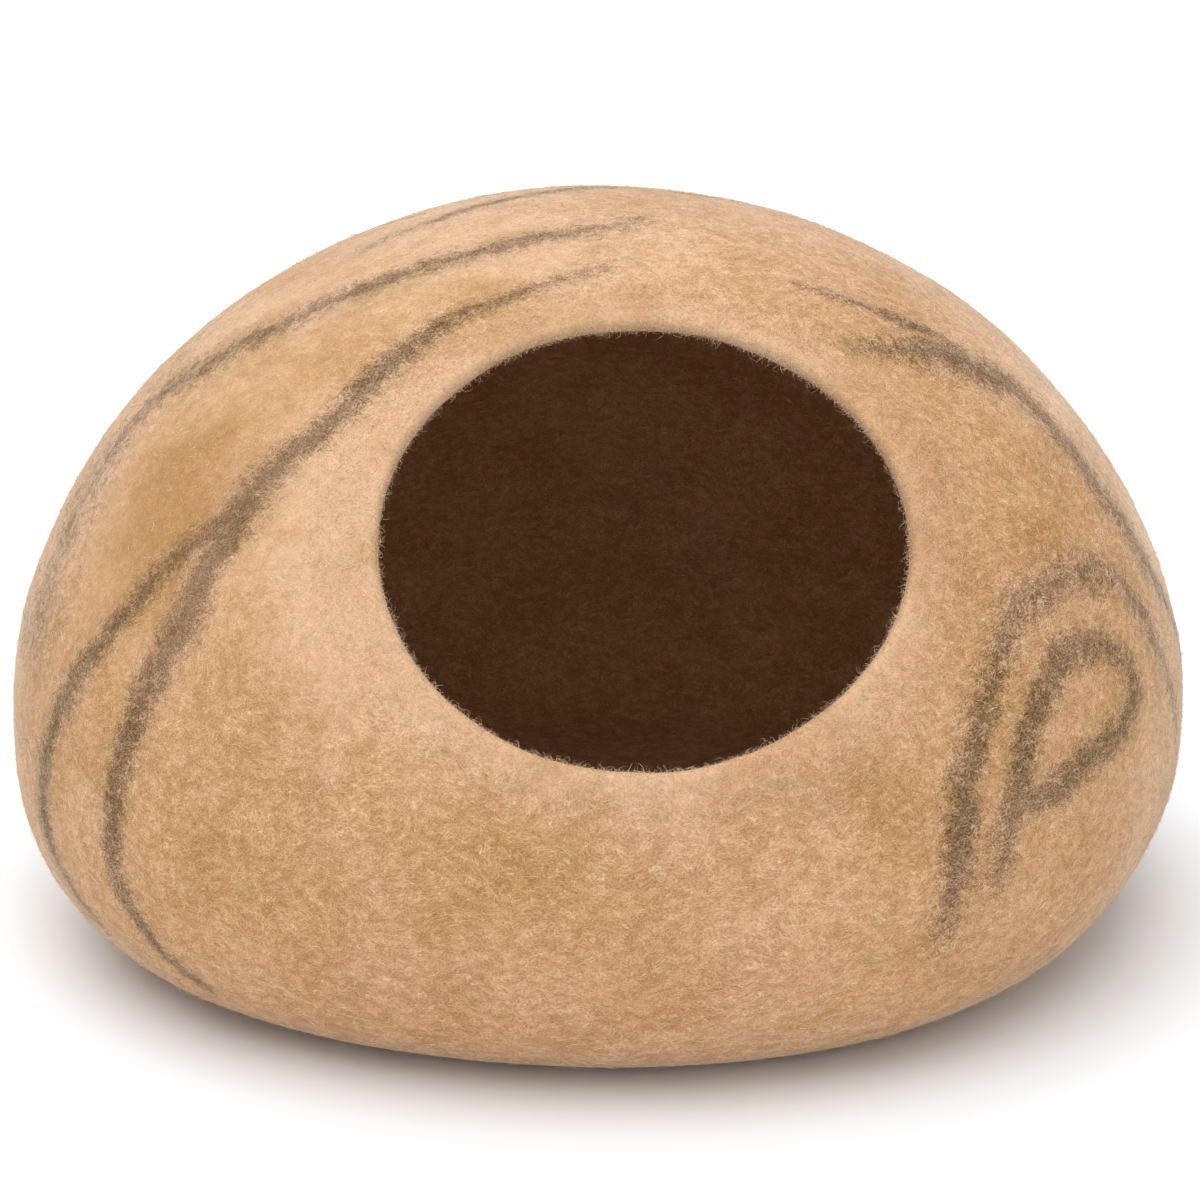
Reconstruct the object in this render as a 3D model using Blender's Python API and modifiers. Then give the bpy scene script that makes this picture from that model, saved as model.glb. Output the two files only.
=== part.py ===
"""A wet-felted wool cat cave: one seamless shell with a flat base and one slanted, nearly round mouth.

Metres, +Z up. The mouth faces -Y, and the shell rests on z = 0 with the origin at the middle of its base.
"""

from math import acos, atan2, cos, exp, hypot, pi, radians, sin, sqrt

import bmesh
import bpy
from mathutils import Vector

# Body, outside.
GIRTH_DIAMETER = 0.500
GIRTH_LEVEL = 0.081  # height of the widest part
HEIGHT = 0.304
BASE_DIAMETER = 0.362  # flat disc on the floor
FELT_THICKNESS = 0.008

# Mouth, an ellipse on a plane that leans back. It is cut by hand, so its edge waves a little.
MOUTH_WIDTH = 0.203  # side to side
MOUTH_SLOPE_LENGTH = 0.189  # up the slope
MOUTH_PITCH = 42.0  # degrees above level that the mouth looks
MOUTH_CENTRE = Vector((0.0, -0.173, 0.208))
MOUTH_WAVES = (
    # crests, swell as a share of the radius, degrees from +X of a crest
    (2, 0.016, 45),
    (3, 0.005, 13),
)
LIP_ROUNDING = 0.0034  # each edge of the cut wool is worked round

# The body is worked by hand, so it is a little out of round. Each wave runs round the wall and fades
# above and below its level. Bearings are in degrees from +X towards +Y.
WAVES = (
    # crests, swell, bearing of a crest, level, fade
    (2, 0.0014, 60, 0.04, 0.06),
    (3, 0.0010, 15, 0.04, 0.06),
    (4, 0.0036, 27, 0.04, 0.06),
    (2, 0.0010, -80, 0.18, 0.08),
    (3, 0.0015, -38, 0.18, 0.08),
    (4, 0.0010, -40, 0.18, 0.08),
)
WAVE_FREE_RADIUS = 0.100  # inside this radius the waves die away towards the crown

# Soft hollows (-) and swellings (+) left in the back by handling.
PRESSES = (
    # bearing, level, depth, spread
    (128, 0.215, -0.0030, 0.060),
    (62, 0.130, -0.0025, 0.070),
    (165, 0.120, 0.0020, 0.060),
    (95, 0.075, 0.0020, 0.080),
)

# Mesh rings run from the mouth's edge to the edge of the base, and then close on the flat base. They are
# laid out by angle, as seen from a point inside the body, straight behind the mouth.
SIGHT_SETBACK = 0.200
SIDES = 60
WALL_RINGS = 24
BASE_RINGS = 2
LIP_SEGMENTS = 3
LIP_EDGE_ANGLE = 50  # degrees, sharper than any fold of the body
REACH_STEP = 1e-8  # how finely a point on the body is found
ANGLE_STEP = 1e-6  # how finely the edge of the base is found, in radians
FLAT_LIMIT = 1e-6  # a point this close to the floor lies on it

FELT_COLOUR = (0.66, 0.40, 0.20, 1.0)
FELT_ROUGHNESS = 0.95


def clear_scene():
    """Remove every object that the file starts with."""
    for thing in list(bpy.data.objects):
        bpy.data.objects.remove(thing, do_unlink=True)


def felt_material():
    """Plain tan wool felt."""
    felt = bpy.data.materials.new("wool_felt")
    felt.use_nodes = True
    shader = felt.node_tree.nodes["Principled BSDF"]
    shader.inputs["Base Color"].default_value = FELT_COLOUR
    shader.inputs["Roughness"].default_value = FELT_ROUGHNESS
    shader.inputs["Metallic"].default_value = 0.0
    return felt


def turned_radius(level):
    """Radius of the body before it is worked out of round: a quarter ellipse below the girth, one above."""
    girth = GIRTH_DIAMETER / 2
    if level < GIRTH_LEVEL:
        base = BASE_DIAMETER / 2
        drop = 1 - level / GIRTH_LEVEL
        return base + (girth - base) * sqrt(max(0.0, 1 - drop * drop))
    rise = (level - GIRTH_LEVEL) / (HEIGHT - GIRTH_LEVEL)
    return girth * sqrt(max(0.0, 1 - rise * rise))


def wall_radius(bearing, level):
    """Radius of the body at a bearing, with its waves and presses."""
    radius = turned_radius(level)
    swell = 0.0
    for crests, height, crest, at, fade in WAVES:
        swell += height * cos(crests * (bearing - radians(crest))) * exp(-(((level - at) / fade) ** 2))
    for spot, at, depth, spread in PRESSES:
        turn = (bearing - radians(spot) + pi) % (2 * pi) - pi
        distance = hypot(turn * radius, level - at)
        swell += depth * exp(-((distance / spread) ** 2))
    return radius + swell * min(1.0, radius / WAVE_FREE_RADIUS)


def on_body(start, direction):
    """Where a line from inside the body meets its outer face."""
    near, far = 0.0, GIRTH_DIAMETER
    while far - near > REACH_STEP:
        reach = (near + far) / 2
        point = start + direction * reach
        inside = 0 < point.z < HEIGHT
        if inside and hypot(point.x, point.y) < wall_radius(atan2(point.y, point.x), point.z):
            near = reach
        else:
            far = reach
    point = start + direction * near
    if point.z < FLAT_LIMIT:
        point.z = 0.0
    return point


def base_edge_angle(sight, outward, spoke, edge_angle):
    """How far a line from the sight point turns along a spoke before it meets the flat base."""
    wall, floor = edge_angle, pi
    while floor - wall > ANGLE_STEP:
        angle = (wall + floor) / 2
        if on_body(sight, outward * cos(angle) + spoke * sin(angle)).z > 0:
            wall = angle
        else:
            floor = angle
    return floor


def outer_face():
    """The outer face as an open bowl: a sphere without its top cap, drawn out to the body's form.

    The sphere's first ring becomes the edge of the mouth, and its lower pole lands on the flat base.
    """
    pitch = radians(MOUTH_PITCH)
    outward = Vector((0, -cos(pitch), sin(pitch)))
    upslope = Vector((0, sin(pitch), cos(pitch)))
    sideways = Vector((1, 0, 0))
    sight = MOUTH_CENTRE - outward * SIGHT_SETBACK

    bowl = bmesh.new()
    bands = WALL_RINGS + BASE_RINGS + 1
    bmesh.ops.create_uvsphere(bowl, u_segments=SIDES, v_segments=bands, radius=1.0)
    cap = max(bowl.verts, key=lambda corner: corner.co.z)
    bmesh.ops.delete(bowl, geom=[cap], context="VERTS")

    for corner in bowl.verts:
        ring = round(acos(max(-1.0, min(1.0, corner.co.z))) / pi * bands) - 1
        around = atan2(corner.co.y, corner.co.x)
        swell = 1 + sum(share * cos(crests * (around - radians(crest))) for crests, share, crest in MOUTH_WAVES)
        across = MOUTH_WIDTH / 2 * cos(around) * swell
        along = MOUTH_SLOPE_LENGTH / 2 * sin(around) * swell
        spoke = (sideways * across + upslope * along).normalized()
        mouth_angle = atan2(hypot(across, along), SIGHT_SETBACK)
        base_angle = base_edge_angle(sight, outward, spoke, mouth_angle)
        if ring <= WALL_RINGS:
            angle = mouth_angle + (base_angle - mouth_angle) * ring / WALL_RINGS
        else:
            angle = base_angle + (pi - base_angle) * (ring - WALL_RINGS) / BASE_RINGS
        corner.co = on_body(sight, outward * cos(angle) + spoke * sin(angle))

    mesh = bpy.data.meshes.new("felt_shell")
    bowl.to_mesh(mesh)
    bowl.free()
    return mesh


def felt_shell():
    """The vessel: the outer face thickened inwards, with both edges of the mouth worked round."""
    shell = bpy.data.objects.new("felt_shell", outer_face())
    shell.data.materials.append(felt_material())

    wall = shell.modifiers.new("felt thickness", "SOLIDIFY")
    wall.thickness = FELT_THICKNESS
    wall.offset = -1.0
    wall.use_even_offset = True
    wall.use_rim = True

    lip = shell.modifiers.new("lip", "BEVEL")
    lip.width = LIP_ROUNDING
    lip.segments = LIP_SEGMENTS
    lip.limit_method = "ANGLE"
    lip.angle_limit = radians(LIP_EDGE_ANGLE)

    shell.data.shade_smooth()
    return shell


clear_scene()
cave = bpy.data.collections.new("felt_cat_cave")
bpy.context.scene.collection.children.link(cave)
cave.objects.link(felt_shell())
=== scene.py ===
# %% [markdown]
# # A cat cave of felted wool
# The real bed is one seamless vessel. Its maker lays carded wool round a form in crossed layers, wets and
# rubs it until it mats, cuts the mouth and works the cut edge round. So there is one thick felt wall here,
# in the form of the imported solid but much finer, and loose fibres that stand out of its face. Colour, veins
# and the matted surface are procedural, so they stay sharp at any distance.

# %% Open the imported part
from math import ceil, cos, pi, radians, sin, sqrt

import bmesh
import bpy
import numpy as np
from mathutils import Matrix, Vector, noise
from numpy.linalg import norm


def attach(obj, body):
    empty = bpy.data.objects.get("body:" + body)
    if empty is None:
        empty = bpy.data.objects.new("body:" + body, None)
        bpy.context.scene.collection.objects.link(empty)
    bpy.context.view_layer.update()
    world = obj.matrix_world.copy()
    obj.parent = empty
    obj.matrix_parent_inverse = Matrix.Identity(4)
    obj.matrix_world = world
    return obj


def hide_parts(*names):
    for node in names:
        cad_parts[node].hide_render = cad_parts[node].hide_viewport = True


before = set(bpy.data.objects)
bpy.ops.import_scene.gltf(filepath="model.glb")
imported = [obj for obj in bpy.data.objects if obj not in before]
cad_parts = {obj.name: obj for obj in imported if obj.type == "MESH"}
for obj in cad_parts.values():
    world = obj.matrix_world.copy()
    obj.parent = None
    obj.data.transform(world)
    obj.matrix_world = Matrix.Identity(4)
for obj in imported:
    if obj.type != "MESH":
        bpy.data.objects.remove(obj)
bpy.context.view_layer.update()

# %% [markdown]
# ## The form of the body
# The form comes from the same named sizes as the solid: a quarter ellipse below the widest level, another
# above it, low waves from hand work, and a few soft presses in the back. A function gives the radius at any
# bearing and level, so a mesh of any fineness can be drawn out to it. Numpy works on all points at once.

# %% Sizes of the body, in metres
GIRTH_DIAMETER = 0.500
GIRTH_LEVEL = 0.081
HEIGHT = 0.304
BASE_DIAMETER = 0.362
FELT_THICKNESS = 0.008
WAVES = (
    # crests, swell, bearing of a crest in degrees from +X towards +Y, level, fade
    (2, 0.0014, 60, 0.04, 0.06),
    (3, 0.0010, 15, 0.04, 0.06),
    (4, 0.0036, 27, 0.04, 0.06),
    (2, 0.0010, -80, 0.18, 0.08),
    (3, 0.0015, -38, 0.18, 0.08),
    (4, 0.0010, -40, 0.18, 0.08),
)
WAVE_FREE_RADIUS = 0.100
PRESSES = (
    # bearing, level, depth, spread
    (128, 0.215, -0.0030, 0.060),
    (62, 0.130, -0.0025, 0.070),
    (165, 0.120, 0.0020, 0.060),
    (95, 0.075, 0.0020, 0.080),
)
HALVINGS = 27  # finds a point on the body to a few millionths of a millimetre
FLAT_LIMIT = 1e-6  # a point this close to the floor lies on it


def turned_radius(level):
    """Radius before the body is worked out of round."""
    girth, base = GIRTH_DIAMETER / 2, BASE_DIAMETER / 2
    drop = np.clip(1 - level / GIRTH_LEVEL, 0, 1)
    rise = np.clip((level - GIRTH_LEVEL) / (HEIGHT - GIRTH_LEVEL), 0, 1)
    return np.where(
        level < GIRTH_LEVEL, base + (girth - base) * np.sqrt(1 - drop**2), girth * np.sqrt(1 - rise**2)
    )


def wall_radius(bearing, level):
    """Radius at a bearing and level, with the waves and presses."""
    radius = turned_radius(level)
    swell = np.zeros_like(radius)
    for crests, height, crest, at, fade in WAVES:
        swell += height * np.cos(crests * (bearing - radians(crest))) * np.exp(-(((level - at) / fade) ** 2))
    for spot, at, depth, spread in PRESSES:
        turn = (bearing - radians(spot) + pi) % (2 * pi) - pi
        swell += depth * np.exp(-((turn * radius) ** 2 + (level - at) ** 2) / spread**2)
    return radius + swell * np.minimum(1, radius / WAVE_FREE_RADIUS)


def on_body(start, directions):
    """Where lines from a point inside the body meet its outer face, for many directions at once."""
    near = np.zeros(len(directions))
    far = np.full(len(directions), GIRTH_DIAMETER)
    for _ in range(HALVINGS):
        reach = (near + far) / 2
        x, y, level = (start + directions * reach[:, None]).T
        inside = (level > 0) & (level < HEIGHT) & (np.hypot(x, y) < wall_radius(np.arctan2(y, x), level))
        near, far = np.where(inside, reach, near), np.where(inside, far, reach)
    points = start + directions * near[:, None]
    points[points[:, 2] < FLAT_LIMIT, 2] = 0.0
    return points


half_way_up = wall_radius(np.array([pi, 0.0]), np.full(2, HEIGHT / 2))
print("radius half way up, on the left and on the right:", half_way_up.round(4))

# %% [markdown]
# ## Where the spokes and rings run
# The mesh is a sphere of rings whose first ring is the edge of the mouth. Seen from a point behind the
# mouth, every spoke runs from that edge down to the edge of the flat base. Rings that are even along each
# spoke keep the faces even. The first ring stands a little way from the edge, which leaves room to round the
# lip.

# %% Lay out the spokes
MOUTH_WIDTH = 0.203
MOUTH_SLOPE_LENGTH = 0.189
MOUTH_PITCH = radians(42.0)
MOUTH_CENTRE = np.array([0.0, -0.173, 0.208])
MOUTH_WAVES = (
    # crests, swell as a share of the radius, degrees from +X of a crest
    (2, 0.016, 45),
    (3, 0.005, 13),
)
SIGHT_SETBACK = 0.200
OUTWARD = np.array([0.0, -cos(MOUTH_PITCH), sin(MOUTH_PITCH)])
UPSLOPE = np.array([0.0, sin(MOUTH_PITCH), cos(MOUTH_PITCH)])
SIDEWAYS = np.array([1.0, 0.0, 0.0])
SIGHT = MOUTH_CENTRE - OUTWARD * SIGHT_SETBACK
SIDES = 360
LIP_BAND = 0.0046  # from the edge to the first ring
STEPS_ALONG = 300  # for measuring a spoke

AROUND = np.arange(SIDES) * 2 * pi / SIDES
SWELL = 1 + sum(share * np.cos(crests * (AROUND - radians(crest))) for crests, share, crest in MOUTH_WAVES)
ACROSS = np.outer(MOUTH_WIDTH / 2 * np.cos(AROUND) * SWELL, SIDEWAYS)
ALONG = np.outer(MOUTH_SLOPE_LENGTH / 2 * np.sin(AROUND) * SWELL, UPSLOPE)
REACH = norm(ACROSS + ALONG, axis=1)
SPOKES = (ACROSS + ALONG) / REACH[:, None]
MOUTH_ANGLES = np.arctan2(REACH, SIGHT_SETBACK)


def sighted(angles):
    """Points on the body at an angle along each spoke. Angles has a row for each spoke."""
    turned = np.cos(angles)[..., None] * OUTWARD + np.sin(angles)[..., None] * SPOKES[:, None]
    return on_body(SIGHT, turned.reshape(-1, 3)).reshape(turned.shape)


def base_edge_angles():
    """The angle along each spoke at which it reaches the flat base."""
    wall, floor = MOUTH_ANGLES.copy(), np.full(SIDES, pi)
    for _ in range(HALVINGS):
        middle = (wall + floor) / 2
        above = sighted(middle[:, None])[:, 0, 2] > 0
        wall, floor = np.where(above, middle, wall), np.where(above, floor, middle)
    return floor


BASE_ANGLES = base_edge_angles()


def ring_angles(wall_rings, base_rings):
    """The angle of every ring on every spoke, even along the felt."""
    part = np.linspace(0, 1, STEPS_ALONG)
    angles = MOUTH_ANGLES[:, None] + np.outer(BASE_ANGLES - MOUTH_ANGLES, part)
    points = sighted(angles)
    run = np.cumsum(norm(np.diff(points, axis=1), axis=2), axis=1)
    run = np.concatenate([np.zeros((SIDES, 1)), run], axis=1)
    rings = np.zeros((SIDES, wall_rings + base_rings + 1))
    for side in range(SIDES):
        stops = np.linspace(LIP_BAND, run[side, -1], wall_rings)
        rings[side, 1 : wall_rings + 1] = np.interp(stops, run[side], angles[side])
        rings[side, 0] = MOUTH_ANGLES[side]
        rings[side, wall_rings:] = np.linspace(BASE_ANGLES[side], pi, base_rings + 1)
    return rings


print("a spoke turns", np.degrees(BASE_ANGLES - MOUTH_ANGLES).round(1)[[0, 90, 180, 270]], "degrees")

# %% [markdown]
# ## The veins
# Wisps of dark wool lie in the top layer and felt in with it, so a vein is a soft band of colour with a
# ragged edge. Each vein is a smooth line through a few listed points on the body, with a width and a strength
# at each. Noise sways the lines as fingers do. The field below is a vein's strength at its middle, 0 at its
# edge, and less than 0 further out, so that a material can choose how ragged the edge is.

# %% Lay the veins
VEINS = {
    # bearing in degrees, level in mm, width in mm, strength in tenths
    "high wisp": ((179, 287, 6, 2), (174, 296, 8, 5), (162, 299, 9, 6), (123, 302, 8, 5), (78, 301, 6, 3)),
    "left wisp": (
        (-170, 150, 13, 1), (-173, 191, 17, 2), (-174, 225, 16, 4), (-168, 247, 15, 5), (-157, 275, 13, 6),
        (-141, 293, 12, 6), (-127, 298, 11, 6), (-96, 301, 9, 4), (-68, 302, 6, 3),
    ),
    "left stem": (
        (-95, 293, 3, 1), (-106, 290, 5, 4), (-118, 284, 7, 6), (-124, 280, 9, 8), (-129, 270, 13, 10),
        (-132, 256, 15, 10), (-134, 242, 14, 10), (-137, 230, 16, 10), (-139, 216, 21, 10),
        (-140, 204, 14, 7),
    ),
    "left fork, inner": (
        (-138, 209, 14, 9), (-140, 192, 16, 10), (-140, 175, 18, 10), (-142, 153, 16, 10),
        (-144, 127, 14, 10), (-145, 92, 14, 10), (-144, 66, 12, 10), (-141, 46, 9, 9), (-136, 26, 6, 5),
    ),
    "left fork, outer": (
        (-138, 221, 8, 7), (-141, 208, 12, 7), (-144, 195, 12, 7), (-148, 176, 12, 6.5), (-152, 152, 14, 8),
        (-156, 126, 14, 9), (-159, 90, 14, 9), (-158, 68, 11, 8), (-155, 50, 8, 5), (-151, 35, 5, 3),
    ),
    "right strand": (
        (-50, 266, 5, 3), (-44, 263, 9, 5), (-39, 260, 16, 6), (-34, 257, 23, 8), (-31, 252, 22, 9),
        (-28, 247, 20, 9), (-25, 242, 19, 9), (-24, 232, 17, 8), (-24, 217, 16, 7), (-24, 198, 16, 6),
        (-22, 174, 14, 6), (-18, 145, 11, 5), (-13, 118, 7, 4), (-9, 90, 4, 3),
    ),
    "right strand, feeder": ((-46, 284, 4, 3), (-37, 275, 7, 6), (-32, 265, 10, 7), (-28, 254, 10, 7)),
    "right bow": (
        (-64, 66, 9, 3), (-63, 82, 13, 8), (-62, 103, 15, 10), (-61, 125, 15, 10), (-58, 145, 14, 7),
        (-55, 163, 13, 5), (-51, 176, 13, 4.5), (-46, 181, 13, 5), (-40, 182, 12, 5), (-33, 174, 12, 5),
        (-29, 155, 11, 5), (-25, 125, 8, 4), (-22, 96, 4, 3),
    ),
    "right drop": (
        (-58, 84, 9, 3), (-57, 98, 13, 8), (-55, 116, 15, 10), (-53, 135, 15, 10), (-50, 147, 15, 10),
        (-46, 156, 15, 10), (-41, 156, 14, 7.5), (-37, 147, 13, 6), (-35, 134, 12, 6), (-38, 123, 13, 7.5),
        (-43, 118, 13, 10), (-49, 112, 13, 10), (-54, 108, 12, 9),
    ),
    "back sweep": (
        (130, 296, 6, 5), (112, 268, 9, 9), (104, 225, 13, 10), (108, 175, 14, 10), (116, 125, 12, 9),
        (118, 75, 10, 8), (112, 25, 7, 4),
    ),
    "back fork": ((106, 196, 11, 9), (97, 150, 12, 10), (92, 100, 11, 9), (95, 60, 7, 5), (98, 35, 4, 3)),
    "back bow": (
        (29, 45, 5, 3), (28, 68, 9, 7), (27, 100, 13, 10), (33, 150, 14, 10), (44, 190, 12, 9),
        (57, 205, 11, 9), (68, 188, 12, 9), (72, 150, 10, 8), (70, 115, 7, 5), (68, 90, 4, 3),
    ),
    "back drop": (
        (38, 84, 5, 4), (40, 100, 9, 8), (43, 130, 12, 10), (50, 158, 11, 9), (57, 160, 10, 9),
        (59, 135, 10, 8), (52, 115, 8, 7), (46, 108, 5, 4),
    ),
    "back wisp": (
        (154, 292, 3, 3), (150, 276, 6, 6), (146, 235, 8, 8), (150, 185, 9, 9), (158, 130, 8, 7),
        (160, 90, 5, 4), (158, 65, 3, 3),
    ),
    "crown wisp": (
        (48, 299, 3, 3), (32, 290, 5, 5), (22, 268, 8, 8), (18, 225, 9, 8), (14, 185, 6, 5),
        (12, 160, 4, 3),
    ),
}
BODY_CENTRE = np.array([0.0, 0.0, 0.12])
TOP_LIMIT = HEIGHT - 1e-4  # just under the crown, where a bearing still counts
SAMPLE_STEP = 0.0015  # between the points of a vein
SWAY = ((0.030, 0.0018), (0.009, 0.0011))  # size and reach of the hand's unevenness, in metres
VEIN_REACH = 0.03  # a point further than this from a vein is clear of it
FAR_OUTSIDE = -4.0
HAND_SEED = 1  # without a seed, noise vectors would change with the time of day
noise.seed_set(HAND_SEED)


def spot(bearing, level):
    """A point on the body, from a bearing in degrees and a level in millimetres."""
    turn, height = radians(bearing), min(level / 1000, TOP_LIMIT)
    radius = float(wall_radius(np.array([turn]), np.array([height]))[0])
    return np.array([radius * cos(turn), radius * sin(turn), height])


def drawn_through(places):
    """A smooth curve through places, which are rows of numbers, as a Catmull-Rom spline."""
    ends = np.vstack([2 * places[0] - places[1], places, 2 * places[-1] - places[-2]])
    rows = []
    for a, b, c, d in zip(ends, ends[1:], ends[2:], ends[3:]):
        count = max(2, int(norm((c - b)[:3]) / SAMPLE_STEP))
        t = np.linspace(0, 1, count, endpoint=False)[:, None]
        rows.append(0.5 * (2 * b + (c - a) * t + (2 * a - 5 * b + 4 * c - d) * t**2
                           + (3 * b - a - 3 * c + d) * t**3))
    return np.vstack(rows)


def vein_lines():
    """Each vein as (points on the body, half-widths, strengths)."""
    lines = []
    for rows in VEINS.values():
        curve = drawn_through(np.array([[*spot(bearing, level), width / 2000, strength / 10]
                                        for bearing, level, width, strength in rows]))
        out = curve[:, :3] - BODY_CENTRE
        out /= norm(out, axis=1)[:, None]
        lines.append((on_body(BODY_CENTRE, out), curve[:, 3], curve[:, 4]))
    return lines


VEIN_LINES = vein_lines()


def swayed(points, sways):
    """The points, each pushed aside by noise of some sizes and reaches."""
    moved = points.copy()
    for size, reach in sways:
        moved += reach * np.array([noise.noise_vector(Vector(p / size)) for p in points])
    return moved


def beside(line, points):
    """Which points lie near a line, the nearest place on it, and the distance."""
    low, high = line.min(axis=0) - VEIN_REACH, line.max(axis=0) + VEIN_REACH
    close = np.flatnonzero(((points > low) & (points < high)).all(axis=1))
    here = points[close]
    square = (here**2).sum(axis=1)[:, None] + (line**2).sum(axis=1) - 2 * here @ line.T
    nearest = square.argmin(axis=1)
    return close, nearest, np.sqrt(np.maximum(square[np.arange(len(close)), nearest], 0))


def vein_field(points):
    """How deep in a vein each point lies."""
    asked = swayed(points, SWAY)
    field = np.full(len(points), FAR_OUTSIDE)
    for line, half, strength in VEIN_LINES:
        close, nearest, distance = beside(line, asked)
        depth = strength[nearest] * (1 - distance / half[nearest])
        field[close] = np.maximum(field[close], depth)
    return field


print(len(VEIN_LINES), "veins,", sum(len(line) for line, _, _ in VEIN_LINES), "points")

# %% [markdown]
# ## The felt wall
# A wall of even thickness could come from a Solidify modifier. Here the inner face is its own, coarser bowl,
# set in from the outer one by the same thickness, so that the faces go where they are seen. The outer bowl
# is cut finer along the veins, whose edges are sharper than the rest. Then the two mouths are bridged and
# both edges are bevelled round, as the maker works the cut edge with wet hands.

# %% Draw out the two bowls
OUTER_RINGS, OUTER_BASE_RINGS = 112, 8
INNER_RINGS, INNER_BASE_RINGS = 40, 5
LIP_ROUNDING = 0.0036
LIP_SEGMENTS = 6
FINE_MARGIN = 0.003  # beyond a vein's edge
FINE_LENGTH = 0.0026  # edges longer than this are cut near a vein
MOUTH_MARGIN = 0.010  # the lip's own faces stay as they are


def drawn_out(wall_rings, base_rings):
    """A bowl on the outer face of the body: a sphere without its top cap, drawn out to the form."""
    bands = wall_rings + base_rings + 1
    bowl = bmesh.new()
    bmesh.ops.create_uvsphere(bowl, u_segments=SIDES, v_segments=bands, radius=1.0)
    cap = max(bowl.verts, key=lambda corner: corner.co.z)
    bmesh.ops.delete(bowl, geom=[cap], context="VERTS")
    ball = np.array([corner.co for corner in bowl.verts])
    ring = np.rint(np.arccos(np.clip(ball[:, 2], -1, 1)) / pi * bands).astype(int) - 1
    side = np.rint(np.arctan2(ball[:, 1], ball[:, 0]) / (2 * pi / SIDES)).astype(int) % SIDES
    places = sighted(ring_angles(wall_rings, base_rings))
    for corner, place in zip(bowl.verts, places[side, ring]):
        corner.co = place
    return bowl


def cut_finer_by_veins(bowl):
    """Halve the long edges near the veins, and bring the new corners out to the body."""
    edges = list(bowl.edges)
    ends = np.array([[edge.verts[0].co, edge.verts[1].co] for edge in edges])
    middles, lengths = ends.mean(axis=1), norm(ends[:, 0] - ends[:, 1], axis=1)
    gap = np.full(len(edges), np.inf)
    for line, half, _ in VEIN_LINES:
        close, nearest, distance = beside(line, middles)
        gap[close] = np.minimum(gap[close], distance - half[nearest])
    from_mouth = np.abs((middles - MOUTH_CENTRE) @ OUTWARD)
    chosen = (gap < FINE_MARGIN) & (lengths > FINE_LENGTH) & (from_mouth > MOUTH_MARGIN)
    before = len(bowl.verts)
    bmesh.ops.subdivide_edges(bowl, edges=[edges[i] for i in np.flatnonzero(chosen)], cuts=1,
                              use_grid_fill=True)
    bowl.verts.ensure_lookup_table()
    new = [bowl.verts[i] for i in range(before, len(bowl.verts))]
    out = np.array([corner.co for corner in new]) - SIGHT
    out /= norm(out, axis=1)[:, None]
    for corner, place in zip(new, on_body(SIGHT, out)):
        corner.co = place


outer = drawn_out(OUTER_RINGS, OUTER_BASE_RINGS)
print("outer bowl before the veins:", len(outer.faces), "faces")
cut_finer_by_veins(outer)
print("outer bowl:", len(outer.faces), "faces")


def set_in(bowl):
    """Move a bowl inwards by the felt's thickness and turn it to face the hollow."""
    bowl.normal_update()
    moves = [corner.normal * (-FELT_THICKNESS * corner.calc_shell_factor()) for corner in bowl.verts]
    for corner, move in zip(bowl.verts, moves):
        corner.co += move
    bmesh.ops.reverse_faces(bowl, faces=bowl.faces[:])
    return bowl


inner = set_in(drawn_out(INNER_RINGS, INNER_BASE_RINGS))
inner_floor = min(corner.co.z for corner in inner.verts)
print("inner bowl:", len(inner.faces), "faces, its floor at", round(inner_floor, 4), "m")

# %% [markdown]
# The two bowls go into one mesh, and a value at each corner tells from here on which side of the wall it is.

# %% Join the bowls and round the lip
SIDE_OF_WALL = "outside"  # 1 on the outer face, 0 on the inner one


def mouth_edges(shape):
    """The edges round an open mouth."""
    return [edge for edge in shape.edges if edge.is_boundary]


def marked(bowl, value):
    """The bowl, with its side of the wall kept at each corner."""
    side = bowl.verts.layers.float.new(SIDE_OF_WALL)
    for corner in bowl.verts:
        corner[side] = value
    return bowl


def joined(first, second):
    """Put the second mesh into the first."""
    carried = bpy.data.meshes.new("carried")
    second.to_mesh(carried)
    first.from_mesh(carried)
    second.free()
    bpy.data.meshes.remove(carried)
    return first


wall = joined(marked(outer, 1.0), marked(inner, 0.0))
edges = mouth_edges(wall)
bmesh.ops.bridge_loops(wall, edges=edges)
bmesh.ops.bevel(wall, geom=edges, offset=LIP_ROUNDING, offset_type="OFFSET", segments=LIP_SEGMENTS,
                profile=0.5, affect="EDGES", material=-1, clamp_overlap=True)
wall.normal_update()
volume = wall.calc_volume(signed=True)
print("wall:", len(wall.faces), "faces,", len(mouth_edges(wall)), "open edges, volume", round(volume, 6))

# %% [markdown]
# ## Hand unevenness
# Felt that is rubbed by hand is never quite smooth. Three sizes of soft noise push the face in and out by a
# few tenths of a millimetre. The flat base stays flat, or the bed would rock.

# %% Press the felt unevenly
LUMPS = ((0.055, 0.00075), (0.018, 0.00032), (0.007, 0.00012))  # size and height
FLAT_BAND = 0.020  # the unevenness comes in over this height above the base


def unevenness(place):
    """How far the felt stands out at a place."""
    ease = min(1.0, max(0.0, place.z / FLAT_BAND))
    return ease * sum(height * noise.noise(place / size) for size, height in LUMPS)


def set_out(name, data):
    """A new object in the scene."""
    thing = bpy.data.objects.new(name, data)
    bpy.context.scene.collection.objects.link(thing)
    return thing


pushes = [corner.normal * unevenness(corner.co) for corner in wall.verts]
for corner, push in zip(wall.verts, pushes):
    corner.co += push
print("pushed at most", round(max(push.length for push in pushes) * 1000, 2), "mm")

felt_mesh = bpy.data.meshes.new("felt_wall")
wall.to_mesh(felt_mesh)
wall.free()
felt_mesh.shade_smooth()
felt_wall = set_out("felt_wall", felt_mesh)
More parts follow.
